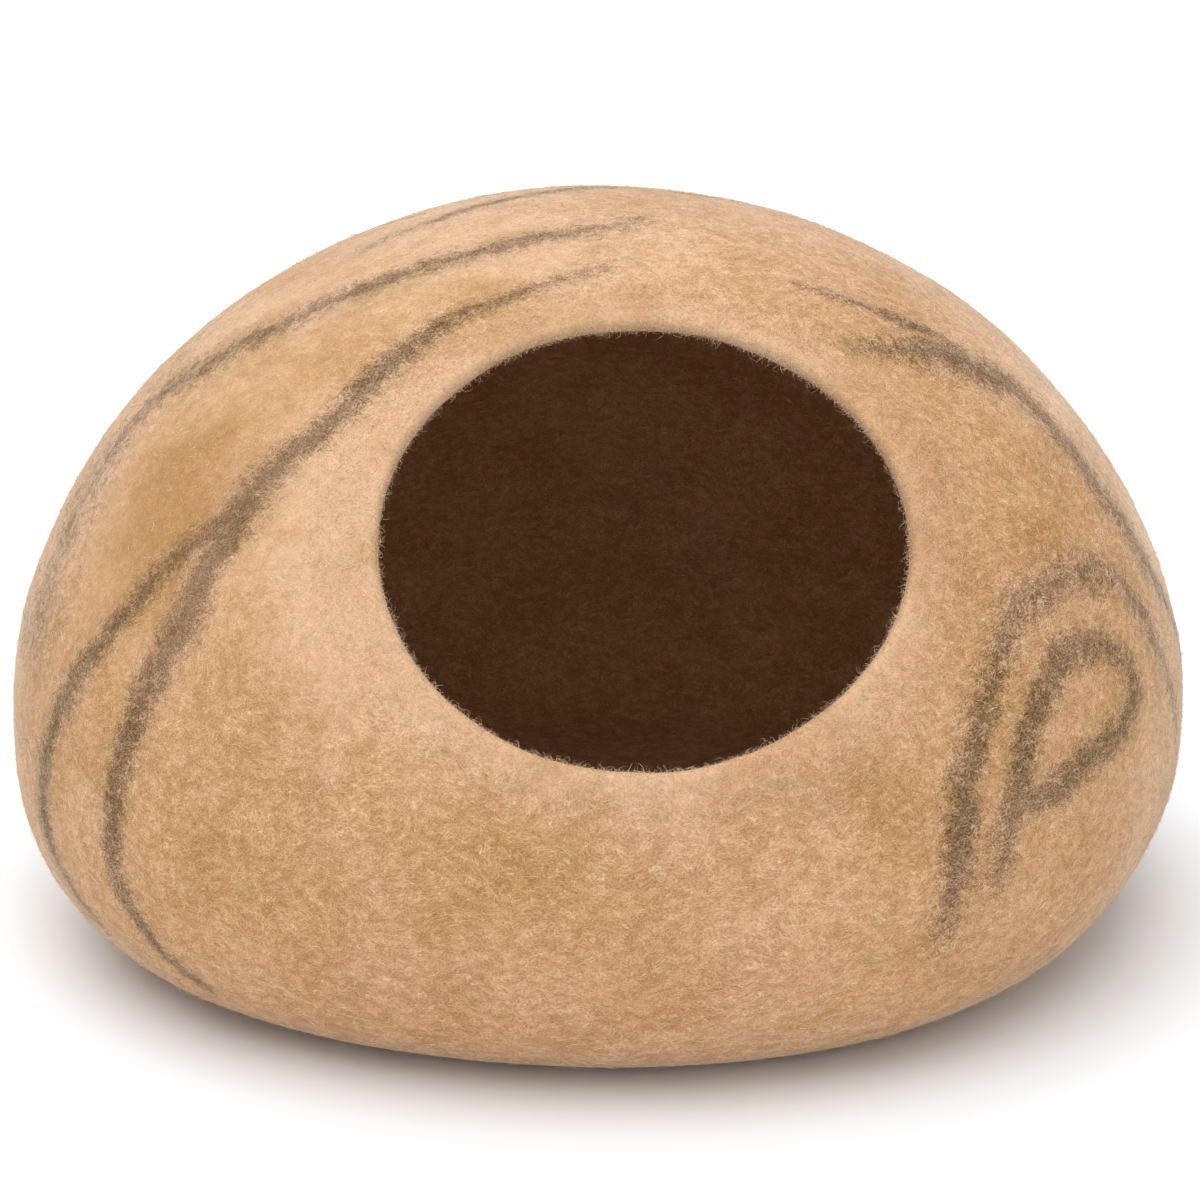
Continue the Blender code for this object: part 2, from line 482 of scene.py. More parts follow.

# %% [markdown]
# ## Patches of tone
# Batts of carded wool differ a little, and they cross as they are laid, so the tan shifts in broad soft
# patches: rosy here and there, more ochre between, and paler in places. Many of the pale patches are painted
# light: the roof is painted lighter as if lit from above, painted highlights lie beside and below the mouth
# and along its lip, and the felt is painted paler near the upper outline, where fuzz catches the light. The
# others are paler wool. Each patch is a soft spot on the body. The maker's hands rub the edge of the mouth
# and the roof smoother than the rest, so that is kept as well. The values lie on the mesh, where the
# materials and the loose fibres can both read them.

# %% Write the veins and tones on the mesh
TONES = {
    # bearing, level in mm, radius in mm, strength in tenths
    # pale: mostly painted highlights, on the roof, beside and below the mouth and near the upper outline; a
    # few rows, mostly on the back, are paler wool
    "pale": (
        (-126, 233, 38, 8), (-126, 194, 38, 8), (-123, 161, 35, 5), (-118, 252, 30, 5), (-115, 144, 30, 4),
        (-156, 278, 45, 6), (-168, 297, 45, 7), (-112, 297, 30, 7), (-166, 198, 25, 5), (-160, 149, 22, 3),
        (-154, 91, 22, 2), (-17, 166, 25, 8), (-24, 117, 25, 6), (-31, 102, 25, 4), (-34, 67, 25, 5),
        (-86, 20, 60, 3), (-85, 128, 40, 7), (160, 300, 60, 7), (-85, 300, 45, 9), (-140, 300, 40, 6),
        (-168, 250, 30, 8), (-168, 205, 20, 6), (-170, 175, 20, 6), (-16, 225, 20, 9), (-14, 198, 20, 9),
        (-13, 170, 20, 6), (-22, 252, 20, 9), (-145, 297, 35, 6), (3, 296, 45, 9), (-7, 235, 28, 8),
        (-2, 268, 28, 7), (-179, 250, 30, 8), (150, 150, 60, 5), (60, 250, 70, 5), (80, 120, 60, 4),
        (30, 30, 60, 3),
    ),
    "rose": (
        (-57, 205, 25, 7), (-50, 232, 22, 6), (-63, 150, 16, 6), (-64, 108, 16, 6), (-44, 143, 13, 9),
        (-49, 128, 10, 6), (9, 298, 50, 4), (-1, 279, 40, 2), (-36, 270, 40, 6), (-86, 77, 60, 5),
        (-114, 72, 50, 5), (-128, 140, 40, 5), (20, 140, 60, 4), (120, 200, 50, 4), (160, 60, 60, 5),
        (70, 60, 50, 4),
    ),
    "ochre": (
        (-149, 226, 28, 7), (-146, 244, 22, 3), (-147, 206, 24, 8), (-145, 180, 15, 5), (-106, 122, 28, 3),
        (-104, 100, 30, 4), (-80, 118, 28, 2), (-69, 106, 25, 3), (-46, 211, 22, 8), (-38, 206, 22, 7),
        (-26, 208, 20, 4), (-48, 169, 11, 8), (-53, 150, 10, 8), (-41, 172, 10, 7), (-57, 92, 20, 5),
        (-119, 89, 30, 3), (-163, 112, 32, 6), (-133, 100, 20, 4), (40, 60, 60, 5), (140, 90, 60, 6),
        (90, 220, 60, 5),
    ),
    "smooth": (
        (-128, 215, 42, 7), (-122, 165, 36, 6), (-150, 245, 60, 6.5), (-172, 285, 70, 7),
        (-158, 180, 45, 4.5), (-148, 185, 55, 5), (-138, 210, 35, 3), (-110, 293, 50, 6), (-20, 220, 30, 4),
        (60, 280, 80, 7), (100, 200, 60, 4),
    ),
}
CLOUDY = ((0.060, 0.022), (0.022, 0.009))  # pushes the round spots into the shapes of clouds
# a painted highlight along the outside of the lip, laid into the pale patches
LIP_HIGHLIGHT, LIP_HIGHLIGHT_REACH = 0.7, 0.022
LIP_SMOOTH_REACH = 0.013


def tone_field(points, patches):
    """The sum of soft spots at points that noise has already pushed about."""
    total = np.zeros(len(points))
    for bearing, level, radius, strength in patches:
        square = ((points - spot(bearing, level)) ** 2).sum(axis=1)
        total += strength / 10 * np.exp(-square / (radius / 1000) ** 2)
    return total


def off_the_lip(points):
    """How far each point is from the edge of the mouth."""
    edge = MOUTH_CENTRE + ACROSS + ALONG
    square = (points**2).sum(axis=1)[:, None] + (edge**2).sum(axis=1) - 2 * points @ edge.T
    return np.sqrt(np.maximum(square.min(axis=1), 0))


def keep(mesh, name, values):
    """Store one value for each vertex."""
    layer = mesh.attributes.new(name, "FLOAT", "POINT")
    layer.data.foreach_set("value", np.asarray(values, dtype=np.float32))


count = len(felt_mesh.vertices)
places = np.zeros(count * 3)
felt_mesh.vertices.foreach_get("co", places)
places = places.reshape(-1, 3)
outside = np.zeros(count)
felt_mesh.attributes[SIDE_OF_WALL].data.foreach_get("value", outside)

veins = np.full(count, FAR_OUTSIDE)
face_side = outside > 0.5
veins[face_side] = vein_field(places[face_side])
keep(felt_mesh, "vein", veins)
from_edge = off_the_lip(places)
cloudy = swayed(places, CLOUDY)
tones = {tone: tone_field(cloudy, patches) for tone, patches in TONES.items()}
# painted highlight along the edge of the mouth
tones["pale"] += LIP_HIGHLIGHT * np.exp(-((from_edge / LIP_HIGHLIGHT_REACH) ** 2))
tones["smooth"] += np.exp(-((from_edge / LIP_SMOOTH_REACH) ** 2))
smooth = np.clip(tones["smooth"], 0, 1)
for tone, values in tones.items():
    keep(felt_mesh, tone, np.clip(values, 0, 1))
print("share of the outer face in a vein:", round((veins[face_side] > 0).mean(), 3),
      "and how smooth it is on average:", round(smooth[face_side].mean(), 2))

# %% [markdown]
# ## The tones of the wool
# The materials are built from nodes. Each helper adds a node, joins it up and gives back what it puts out.

# %% Helpers for nodes
def dab(tree, kind, sockets=None, **settings):
    """Add a node, with its settings, and a value or a link for each named or numbered socket."""
    node = tree.nodes.new(kind)
    for name, value in settings.items():
        setattr(node, name, value)
    for socket, value in (sockets or {}).items():
        if isinstance(value, bpy.types.NodeSocket):
            tree.links.new(value, node.inputs[socket])
        else:
            node.inputs[socket].default_value = value
    return node


def maths(tree, operation, *values):
    return dab(tree, "ShaderNodeMath", dict(enumerate(values)), operation=operation).outputs[0]


def vectors(tree, operation, first, second):
    """A sum on two vectors. When one is scaled, the second is a plain number."""
    socket = "Scale" if operation == "SCALE" else 1
    return dab(tree, "ShaderNodeVectorMath", {0: first, socket: second}, operation=operation).outputs[0]


def sum_of(tree, first, second):
    return maths(tree, "ADD", first, second)


def times(tree, first, second):
    return maths(tree, "MULTIPLY", first, second)


def eased(tree, value, low, high, to_low=0.0, to_high=1.0):
    """A smooth step from one level to another."""
    return dab(tree, "ShaderNodeMapRange",
               {"Value": value, "From Min": low, "From Max": high, "To Min": to_low, "To Max": to_high},
               interpolation_type="SMOOTHSTEP").outputs["Result"]


def mixed(tree, amount, first, second, blend_type="MIX"):
    """Two colours mixed. Sockets 6 and 7 of a Mix node are its colours."""
    return dab(tree, "ShaderNodeMix", {0: amount, 6: first, 7: second}, data_type="RGBA",
               blend_type=blend_type).outputs[2]


def clouds(tree, place, scale, detail, roughness=0.5):
    return dab(tree, "ShaderNodeTexNoise",
               {"Vector": place, "Scale": scale, "Detail": detail, "Roughness": roughness}).outputs["Fac"]


def new_group(name, inputs, outputs, tree_type="ShaderNodeTree"):
    """An empty group with named sockets."""
    group = bpy.data.node_groups.new(name, tree_type)
    for way, sockets in (("INPUT", inputs), ("OUTPUT", outputs)):
        for socket, kind in sockets.items():
            group.interface.new_socket(socket, in_out=way, socket_type=kind)
    return group, group.nodes.new("NodeGroupInput").outputs, group.nodes.new("NodeGroupOutput").inputs


# %% [markdown]
# One small node group turns the strengths of the patches into the colour of the wool, for the wall and for
# the loose fibres alike: a paler tan, which carries painted highlights as well as paler wool, then rosy tan
# and ochre wool are mixed into the plain tan in turn.

# %% Mix the tones
TAN = (0.560, 0.325, 0.160, 1)
# the paler tan of the pale patches, which are mostly painted highlights and partly paler wool
PALE_AND_LIT_TAN = (0.665, 0.436, 0.268, 1)
ROSE_TAN = (0.560, 0.320, 0.185, 1)
OCHRE_TAN = (0.450, 0.242, 0.098, 1)
FIELD, COLOUR, PLACE = "NodeSocketFloat", "NodeSocketColor", "NodeSocketVector"


def wool_tones():
    """The wool's colour from the strengths of its three patches."""
    group, given, put_out = new_group(
        "wool tones", {"Pale": FIELD, "Rose": FIELD, "Ochre": FIELD}, {"Colour": COLOUR}
    )
    wool = TAN
    for tone, colour in (("Pale", PALE_AND_LIT_TAN), ("Rose", ROSE_TAN), ("Ochre", OCHRE_TAN)):
        wool = mixed(group, given[tone], wool, colour)
    group.links.new(wool, put_out["Colour"])
    return group


TONED = wool_tones()


def kept(tree, name):
    """What is kept on the mesh under a name."""
    return dab(tree, "ShaderNodeAttribute", attribute_name=name).outputs["Fac"]


def toned(tree, stirs):
    """The tones group in a material, each patch stirred by a value that is added to it."""
    group = tree.nodes.new("ShaderNodeGroup")
    group.node_tree = TONED
    for socket, stir in stirs.items():
        value = dab(tree, "ShaderNodeMath", {0: kept(tree, socket.lower()), 1: stir}, operation="ADD",
                    use_clamp=True)
        tree.links.new(value.outputs[0], group.inputs[socket])
    return group.outputs["Colour"]


print("tones:", len(TONED.nodes), "nodes")

# %% [markdown]
# ## The matted face
# Close to, felt is a mat of crimped fibres. A thin line where a soft noise passes through its middle value
# curls just as such a fibre does, and a little to one side of it lies a dark line of the same shape: the
# fibre's painted shadow. Whole lines would close into cells, so a second noise breaks them into short
# lengths. Rubbing lays most of them level, so the noises are drawn together along the height. A slow noise
# stirs them into swirls and a quick one crimps them. A very fine noise fills in for all the fibres that are
# too thin to see one by one.

# %% Mat the fibres
STIRS = ((38, 0.011), (170, 0.0034))  # scale and reach of the slow stir and of the crimp
MIDDLE_GREY = (0.5, 0.5, 0.5)  # the mean of a coloured noise
LEVEL_DRAW = (1.0, 1.0, 1.6)
FIBRE_LAYERS = (
    # scale, half-width in noise, weight
    (210, 0.026, 0.85),
    (330, 0.040, 1.00),
    (500, 0.060, 0.90),
)
FIBRE_SHADOW_SHIFT = 2.0  # from a fibre to its painted shadow, in half-widths
BREAK_SCALE = 210
BREAK_LOW, BREAK_HIGH = 0.40, 0.62
MAT_SCALE = 950
CLUMP_SCALE = 190
FIBRE_RISE, MAT_RISE = 0.6, 0.5  # shares of the height


def matted_fibres():
    """Pale fibres, their painted shadows, the fine mat and its clumps, each from 0 to 1, and the height of
    the mat.
    """
    group, given, put_out = new_group(
        "matted fibres", {"Place": PLACE},
        {"Fibres": FIELD, "Fibre shadows": FIELD, "Mat": FIELD, "Clumps": FIELD, "Height": FIELD}
    )
    moved = given["Place"]
    for scale, reach in STIRS:
        spoon = dab(group, "ShaderNodeTexNoise", {"Vector": given["Place"], "Scale": scale, "Detail": 0.0})
        stir = vectors(group, "SUBTRACT", spoon.outputs["Color"], MIDDLE_GREY)
        moved = vectors(group, "ADD", moved, vectors(group, "SCALE", stir, reach))
    swept = vectors(group, "MULTIPLY", moved, LEVEL_DRAW)
    broken = dab(group, "ShaderNodeTexNoise", {"Vector": swept, "Scale": BREAK_SCALE, "Detail": 0.0})
    breaks = dab(group, "ShaderNodeSeparateColor", {0: broken.outputs["Color"]}).outputs

    def line_at(level, middle, half, weight):
        off_middle = maths(group, "ABSOLUTE", maths(group, "SUBTRACT", level, middle))
        return eased(group, off_middle, 0.0, half, weight, 0.0)

    clumps = eased(group, clouds(group, swept, CLUMP_SCALE, 1.0, 0.6), 0.30, 0.70)
    fibres = fibre_shadows = 0.0
    for (scale, half, weight), length in zip(FIBRE_LAYERS, breaks):
        level = clouds(group, swept, scale, 0.0)
        shown = eased(group, length, BREAK_LOW, BREAK_HIGH)
        fibre = times(group, line_at(level, 0.5, half, weight), shown)
        # a dark line beside the fibre: its painted shadow
        gap = times(group, line_at(level, 0.5 + FIBRE_SHADOW_SHIFT * half, half, weight), shown)
        fibres, fibre_shadows = maths(group, "MAXIMUM", fibres, fibre), maths(group, "MAXIMUM", fibre_shadows, gap)
    mat = eased(group, clouds(group, swept, MAT_SCALE, 2.0, 0.75), 0.28, 0.72)
    height = sum_of(group, times(group, fibres, FIBRE_RISE), times(group, mat, MAT_RISE))
    for value, socket in zip((fibres, fibre_shadows, mat, clumps, height), put_out):
        group.links.new(value, socket)
    return group


MAT = matted_fibres()
print("matted fibres:", len(MAT.nodes), "nodes")

# %% [markdown]
# ## The felt's material
# The tones are stirred by slow noise, tufts of a centimetre or so are lighter or darker, and the veins'
# ragged edges come from adding noise to their field before it is cut. In a vein the dark fibres cover most
# of the wool, and pale ones still cross over it. The sheen is what gives wool its light edge.

# %% Dress the felt
FIBRE_CREAM = (0.860, 0.620, 0.400, 1)
FIBRE_GREY = (0.560, 0.400, 0.275, 1)
# the colour of each pale fibre's painted shadow
FIBRE_SHADOW_BROWN = (0.300, 0.150, 0.055, 1)
MAT_DARK = (0.760, 0.670, 0.560, 1)  # the fine mat's darkest and lightest, as shares of the wool's colour
MAT_LIGHT = (1.170, 1.210, 1.260, 1)
CLUMP_DARK = (0.880, 0.850, 0.800, 1)
CLUMP_LIGHT = (1.075, 1.090, 1.115, 1)
SMOOTH_SHARE, SMOOTH_GRAIN = 0.42, 0.55  # how much of the curls and of the grain is left where it is smooth
DARK_WISP = (0.082, 0.046, 0.020, 1)
MAUVE_WISP = (0.160, 0.097, 0.058, 1)
OLIVE_HALO = (0.370, 0.245, 0.095, 1)
ROSE_HALO = (0.480, 0.290, 0.185, 1)
DRIFT_SCALE, TUFT_SCALE = 22, 80  # noise for patches of a few centimetres, and for tufts
HALO_SHARE = 0.32  # how much of the wool beside a vein takes the halo's colour
MAT_RAGGED, CLUMP_RAGGED = 0.20, 0.12  # how far the mat and its clumps push a vein's edge about
VEIN_FROM, VEIN_TO = -0.45, 0.75  # depths at which dark wool begins and is at its thickest
COVER, COVER_SWING = 0.71, 0.21  # how much dark wool a full vein has, and how far the mat changes it
STRAY_SHARE = 0.65  # dark fibres that stray beside a vein
# how dark the fibres' painted shadows are
FIBRE_SHADOW_SHARE = 0.30
CURLS_IN_WOOL, CURLS_IN_VEIN = 0.44, 0.60  # how strongly the pale fibres show
FELT_SURFACE = {"Roughness": 0.95, "Specular IOR Level": 0.12, "Sheen Weight": 0.43,
                "Sheen Roughness": 0.27, "Sheen Tint": (1.0, 0.96, 0.90, 1)}
FELT_RELIEF = {"Strength": 0.5, "Distance": 0.00025}


def surfaced(shader, values):
    """Set constant values on a shader's own sockets."""
    for socket, value in values.items():
        shader.inputs[socket].default_value = value


def new_material(name, surface):
    """A material with an even surface, its node tree, and its shader."""
    material = bpy.data.materials.new(name)
    material.use_nodes = True
    shader = material.node_tree.nodes["Principled BSDF"]
    surfaced(shader, surface)
    return material, material.node_tree, shader


def felt_material():
    """Matted wool with its tones and veins."""
    felt, tree, shader = new_material("wool_felt", FELT_SURFACE)
    place = dab(tree, "ShaderNodeTexCoord").outputs["Object"]
    matted = tree.nodes.new("ShaderNodeGroup")
    matted.node_tree = MAT
    tree.links.new(place, matted.inputs["Place"])
    fibres, fibre_shadows, mat, clumps, height = matted.outputs
    drift = clouds(tree, place, DRIFT_SCALE, 3, 0.6)
    tuft = clouds(tree, place, TUFT_SCALE, 3, 0.6)
    wool = toned(tree, {"Pale": eased(tree, drift, 0.3, 0.7, -0.2, 0.25),
                        "Rose": eased(tree, tuft, 0.3, 0.7, -0.12, 0.12),
                        "Ochre": sum_of(tree, eased(tree, tuft, 0.3, 0.7, 0.12, -0.12),
                                        eased(tree, drift, 0.35, 0.65, 0.30, -0.14))})

    depth = sum_of(tree, kept(tree, "vein"), eased(tree, tuft, 0.25, 0.75, -0.24, 0.24))
    halo = mixed(tree, eased(tree, drift, 0.42, 0.58), OLIVE_HALO, ROSE_HALO)
    wool = mixed(tree, times(tree, eased(tree, depth, -1.3, 0.2), HALO_SHARE), wool, halo)
    wisp = mixed(tree, eased(tree, drift, 0.35, 0.65), DARK_WISP, MAUVE_WISP)
    ragged = depth
    for part, push in ((mat, MAT_RAGGED), (clumps, CLUMP_RAGGED)):
        ragged = sum_of(tree, ragged, eased(tree, part, 0.0, 1.0, push, -push))
    vein = eased(tree, ragged, VEIN_FROM, VEIN_TO)
    smooth = kept(tree, "smooth")
    relief = eased(tree, smooth, 0.0, 1.0, 1.0, SMOOTH_SHARE)
    grain = eased(tree, smooth, 0.0, 1.0, 1.0, SMOOTH_GRAIN)
    swing = times(tree, grain, eased(tree, mat, 0.0, 1.0, COVER_SWING, -COVER_SWING))
    wool = mixed(tree, times(tree, vein, sum_of(tree, swing, COVER)), wool, wisp)
    # stray dark fibres beside a vein lie along the lines of the fibres' painted shadows
    stray = times(tree, fibre_shadows, eased(tree, depth, -1.1, 0.3, 0.0, STRAY_SHARE))
    wool = mixed(tree, stray, wool, wisp)

    wool = mixed(tree, 1.0, wool, eased(tree, tuft, 0.2, 0.8, 0.95, 1.05), "MULTIPLY")
    wool = mixed(tree, grain, wool, mixed(tree, mat, MAT_DARK, MAT_LIGHT), "MULTIPLY")
    # painted shadow beside each pale fibre, fainter where the felt is rubbed smooth
    wool = mixed(tree, times(tree, fibre_shadows, times(tree, relief, FIBRE_SHADOW_SHARE)), wool, FIBRE_SHADOW_BROWN)
    wool = mixed(tree, relief, wool, mixed(tree, clumps, CLUMP_DARK, CLUMP_LIGHT), "MULTIPLY")
    shown = times(tree, eased(tree, vein, 0.0, 1.0, CURLS_IN_WOOL, CURLS_IN_VEIN),
                  eased(tree, clumps, 0.0, 1.0, 0.55, 1.25))
    shown = times(tree, shown, relief)
    fibre = mixed(tree, vein, FIBRE_CREAM, FIBRE_GREY)
    wool = mixed(tree, times(tree, fibres, shown), wool, fibre)
    tree.links.new(wool, shader.inputs["Base Color"])
    bump = dab(tree, "ShaderNodeBump", {"Height": height, **FELT_RELIEF})
    tree.links.new(bump.outputs["Normal"], shader.inputs["Normal"])
    return felt


felt_mesh.materials.append(felt_material())
print("felt:", len(felt_mesh.materials[0].node_tree.nodes), "nodes")

# %% [markdown]
# ## Loose fibres
# The fuzz softens the felt's outline and the edge of the mouth. One fibre is a thin, three-sided tapering
# rod, cut into short lengths and curled. Two dozen different ones are made for each piece of fuzz. They
# leave the felt at a slant, and their roots are just under its face.

# %% Curl some fibres
rng = np.random.default_rng(7)
CURVE_STEPS = 60
ROOT_DEPTH = 0.8  # in widths of the fibre


def curled_fibre(name, length, width, lengths, crimp, lift, veer):
    """A tapering, curled rod. Lift is its slant at the root, and veer how far it turns from the X axis."""
    rod = bmesh.new()
    bmesh.ops.create_cone(rod, cap_ends=True, cap_tris=False, segments=3, radius1=width / 2, radius2=0.0,
                          depth=length)
    long_edges = [e for e in rod.edges if abs(e.verts[0].co.z - e.verts[1].co.z) > length / 2]
    bmesh.ops.subdivide_edges(rod, edges=long_edges, cuts=lengths - 1)
    heading = rng.uniform(-veer, veer) + pi * rng.integers(2)
    bend, waves = rng.uniform(-1.0, 1.0) * crimp, rng.uniform(0.6, 1.4)
    rise, fall = lift * rng.uniform(0.7, 1.3), rng.uniform(0.2, 1.0)
    t = (np.arange(CURVE_STEPS) + 0.5) / CURVE_STEPS
    turn = heading + bend * (2 * t - 1) + 0.5 * crimp * np.sin(2 * pi * t * waves)
    slope = rise * (1 - (1 + fall) * t)
    steps = np.stack([np.cos(slope) * np.cos(turn), np.cos(slope) * np.sin(turn), np.sin(slope)], axis=1)
    path = np.vstack([np.zeros(3), np.cumsum(steps, axis=0) * length / CURVE_STEPS])
    path[:, 2] -= width * ROOT_DEPTH
    for corner in rod.verts:
        along = min((corner.co.z / length + 0.5) * CURVE_STEPS, CURVE_STEPS - 1e-6)
        low = int(max(along, 0.0))
        centre = path[low] + (path[low + 1] - path[low]) * (along - low)
        ahead = Vector(path[low + 1] - path[low]).normalized()
        side = ahead.cross(Vector((0, 0, 1))).normalized()
        corner.co = Vector(centre) + side * corner.co.x + side.cross(ahead) * corner.co.y
    rod.normal_update()
    mesh = bpy.data.meshes.new(name)
    rod.to_mesh(mesh)
    rod.free()
    return bpy.data.objects.new(name, mesh)


# %% [markdown]
# A fibre is too thin to carry a pattern, so it has one colour from root to tip. For whoever bakes the
# colours into a picture, each fibre gets one small square of a flat map to itself, and all its faces share
# that square.

# %% Lay the fibres out flat
SQUARE = np.array([(0.15, 0.15), (0.85, 0.15), (0.85, 0.85), (0.15, 0.85)])  # a face's corners in a cell


def one_cell_each(mesh, corners_each):
    """A map in which fibre after fibre takes the next cell of a square grid."""
    corners = np.arange(len(mesh.loops))
    starts, sides = np.zeros(len(mesh.polygons), int), np.zeros(len(mesh.polygons), int)
    mesh.polygons.foreach_get("loop_start", starts)
    mesh.polygons.foreach_get("loop_total", sides)
    fibre = corners // corners_each
    grid = ceil(sqrt(len(corners) / corners_each))
    cell = np.stack([fibre % grid, fibre // grid], axis=1)
    flat = (cell + SQUARE[corners - np.repeat(starts, sides)]) / grid
    mesh.uv_layers.new(name="OFBake").data.foreach_set("uv", flat.ravel())
    return grid


# %% [markdown]
# Geometry Nodes strews points over the wall, stands a fibre on each, turns and sizes it at random, and
# realizes them all as one mesh. Points carry what is kept on the wall, so each fibre has the colour of the
# wool at its root.

# %% Scatter them over the wall
SHAPE = "NodeSocketGeometry"


def fibres_over(name, kinds, per_square_metre, seed, sizes, tilt, spin, where):
    """Loose fibres where the wall is marked, each laid out with its X axis level, then tilted and spun."""
    tray = bpy.data.collections.new(name + "_kinds")
    for kind in kinds:
        tray.objects.link(kind)
    piece = set_out(name, felt_mesh.copy())
    tree, given, put_out = new_group(name, {"Wall": SHAPE}, {"Fibres": SHAPE}, "GeometryNodeTree")

    def node(kind, sockets=None, **settings):
        return dab(tree, kind, sockets, **settings).outputs

    share = node("GeometryNodeInputNamedAttribute", {"Name": where}, data_type="FLOAT")
    density = times(tree, share["Attribute"], per_square_metre)
    roots = node("GeometryNodeDistributePointsOnFaces",
                 {"Mesh": given["Wall"], "Density": density, "Seed": seed}, distribute_method="RANDOM")
    shade = node("FunctionNodeRandomValue", {"Seed": seed + 1}, data_type="FLOAT")
    shaded = node("GeometryNodeStoreNamedAttribute",
                  {"Geometry": roots["Points"], "Name": "shade", "Value": shade[1]},
                  data_type="FLOAT", domain="POINT")
    level = vectors(tree, "CROSS_PRODUCT", (0, 0, 1), roots["Normal"])
    stood = node("FunctionNodeAlignRotationToVector", {"Vector": roots["Normal"]}, axis="Z")
    laid = node("FunctionNodeAlignRotationToVector", {"Rotation": stood[0], "Vector": level}, axis="X",
                pivot_axis="Z")
    angles = node("FunctionNodeRandomValue",
                  {0: (-tilt, -tilt, -spin), 1: (tilt, tilt, spin), "Seed": seed + 2},
                  data_type="FLOAT_VECTOR")
    turn = node("FunctionNodeEulerToRotation", {"Euler": angles[0]})
    turned = node("FunctionNodeRotateRotation", {"Rotation": laid[0], "Rotate By": turn[0]},
                  rotation_space="LOCAL")
    sized = node("FunctionNodeRandomValue", {2: sizes[0], 3: sizes[1], "Seed": seed + 3},
                 data_type="FLOAT")
    kinds_in = node("GeometryNodeCollectionInfo",
                    {"Collection": tray, "Separate Children": True, "Reset Children": True})
    planted = node("GeometryNodeInstanceOnPoints",
                   {"Points": shaded[0], "Instance": kinds_in[0], "Pick Instance": True,
                    "Rotation": turned[0], "Scale": sized[1]})
    made = node("GeometryNodeRealizeInstances", {"Geometry": planted[0]})
    tree.links.new(made[0], put_out["Fibres"])
    piece.modifiers.new("scatter", "NODES").node_group = tree
    depsgraph = bpy.context.evaluated_depsgraph_get()
    mesh = bpy.data.meshes.new_from_object(piece.evaluated_get(depsgraph), preserve_all_data_layers=True,
                                           depsgraph=depsgraph)
    piece.modifiers.clear()
    bare, piece.data = piece.data, mesh
    bpy.data.meshes.remove(bare)
    mesh.name = name
    grid = one_cell_each(mesh, len(kinds[0].data.loops))
    for kind in kinds:
        bpy.data.objects.remove(kind, do_unlink=True)
    bpy.data.collections.remove(tray)
    for extra in ("hairiness", "lip_hairiness", SIDE_OF_WALL):
        if extra in mesh.attributes:
            mesh.attributes.remove(mesh.attributes[extra])
    mesh.shade_smooth()
    triangles = sum(len(face.vertices) - 2 for face in mesh.polygons)
    print(name + ":", triangles, "triangles, and a map", grid, "cells wide")
    return piece


# %% [markdown]
# Each fibre keeps the wool's colour at its root, a little lighter, and some fibres are nearly white. Part of
# this lightness is the pale hair of the wool, and part is painted light, for the light that thin fibres let
# through and catch along the outline. Over a vein, half of them are dark.

# %% The fibres' material
# nearly white: pale hair of the wool, lightened further as painted light shining through thin fibres
LIT_HAIR_CREAM = (0.940, 0.710, 0.480, 1)
HAIR_DARK_SHARE = 0.8
HAIR_SURFACE = {"Roughness": 0.8, "Specular IOR Level": 0.2, "Sheen Weight": 0.15}


def fibre_material():
    """Single wool fibres, each of one colour."""
    hair, tree, shader = new_material("loose_wool", HAIR_SURFACE)
    shade = kept(tree, "shade")
    # fibres are painted lighter than the wool at their roots, partly as painted light shining through them
    wool = toned(tree, {"Pale": 0.1, "Rose": 0.0, "Ochre": 0.0})
    colour = mixed(tree, eased(tree, shade, 0.0, 1.0, 0.45, 1.0), wool, LIT_HAIR_CREAM)
    depth = sum_of(tree, kept(tree, "vein"), eased(tree, shade, 0.0, 1.0, -0.7, 0.9))
    in_vein = eased(tree, depth, 0.0, 0.4)
    colour = mixed(tree, times(tree, in_vein, HAIR_DARK_SHARE), colour, DARK_WISP)
    tree.links.new(colour, shader.inputs["Base Color"])
    return hair


loose_wool = fibre_material()
print("loose wool:", len(loose_wool.node_tree.nodes), "nodes")

# %% [markdown]
# Fuzz is thinner where hands have rubbed the felt, and there is none right at the floor. A fringe of finer
# fibres stands on the cut edge of the mouth.

# %% Grow the fuzz
FRINGE_REACH = 0.009  # from the plane of the mouth
MOUTH_LIMIT = 0.13  # the fringe is nearer than this to the middle of the mouth
BARE_BAND, COMES_IN = 0.002, 0.006  # no fuzz up to this level, and full fuzz this much higher
RUBBED_AWAY = 0.5  # how much of the fuzz goes where the felt is smoothest
INSIDE_SHARE = 0.05

from_lip = (places - MOUTH_CENTRE) @ OUTWARD
from_axis = norm(places - MOUTH_CENTRE - np.outer(from_lip, OUTWARD), axis=1)
near_lip = np.exp(-((from_lip / FRINGE_REACH) ** 2)) * (from_axis < MOUTH_LIMIT)
above_floor = np.clip((places[:, 2] - BARE_BAND) / COMES_IN, 0, 1)
keep(felt_mesh, "hairiness", above_floor * np.where(face_side, 1 - RUBBED_AWAY * smooth, INSIDE_SHARE))
keep(felt_mesh, "lip_hairiness", near_lip)

KINDS = 24
